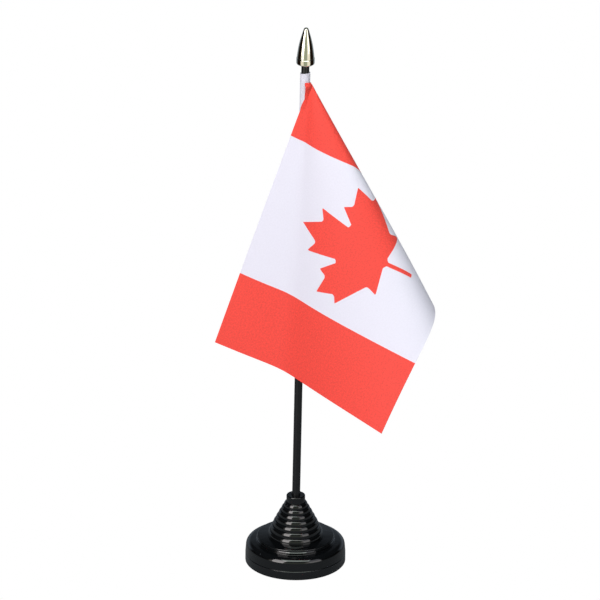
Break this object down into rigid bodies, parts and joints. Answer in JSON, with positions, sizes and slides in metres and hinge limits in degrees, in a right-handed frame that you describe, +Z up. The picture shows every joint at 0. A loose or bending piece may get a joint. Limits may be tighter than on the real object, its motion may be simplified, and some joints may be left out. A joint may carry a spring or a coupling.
{
  "type": "desk flag stand",
  "caption": "Desk flag on a thin rod with a pointed cap, standing in a weighted round base with a ringed cone; the flag's sleeve runs on the rod.",
  "frame": {"origin": "centre of the base's underside, on the table", "axes": "+Z up along the base's axis; -Y is the side from which the flag's face is seen; the rod leans towards +X"},
  "size_m": [0.1093, 0.0906, 0.2913],
  "materials": {
    "base_shell": "glossy moulded black",
    "base_cover": "satin moulded black",
    "ballast_disc": "zinc-plated steel",
    "rod": "extruded black, satin",
    "cap": "chrome-plated plastic",
    "flag_sleeve": "white woven polyester",
    "flag_cloth": "printed woven polyester, red and white",
    "seam_thread": "white polyester sewing thread"
  },
  "bodies": {
    "base": {"base_shell": "base_shell", "base_cover": "base_cover", "ballast_disc": "ballast_disc"},
    "rod": {"rod": "rod", "cap": "cap"},
    "sleeve": {"flag_sleeve": "flag_sleeve"},
    "flag": {"flag_cloth": "flag_cloth", "seam_thread": "seam_thread"}
  },
  "joints": [
    {"name": "rod_pull", "type": "slide", "parent": "base", "child": "rod", "axis": [0.0122, 0, 0.9999], "range_m": [0, 0.028]},
    {"name": "flag_slide", "type": "slide", "parent": "rod", "child": "sleeve", "axis": [0.0122, 0, 0.9999], "range_m": [-0.07, 0.004]},
    {"name": "flag_turn", "type": "hinge", "parent": "sleeve", "child": "flag", "pos_m": [0.00227, 0, 0.20977], "axis": [0.0122, 0, 0.9999], "continuous": true}
  ]
}
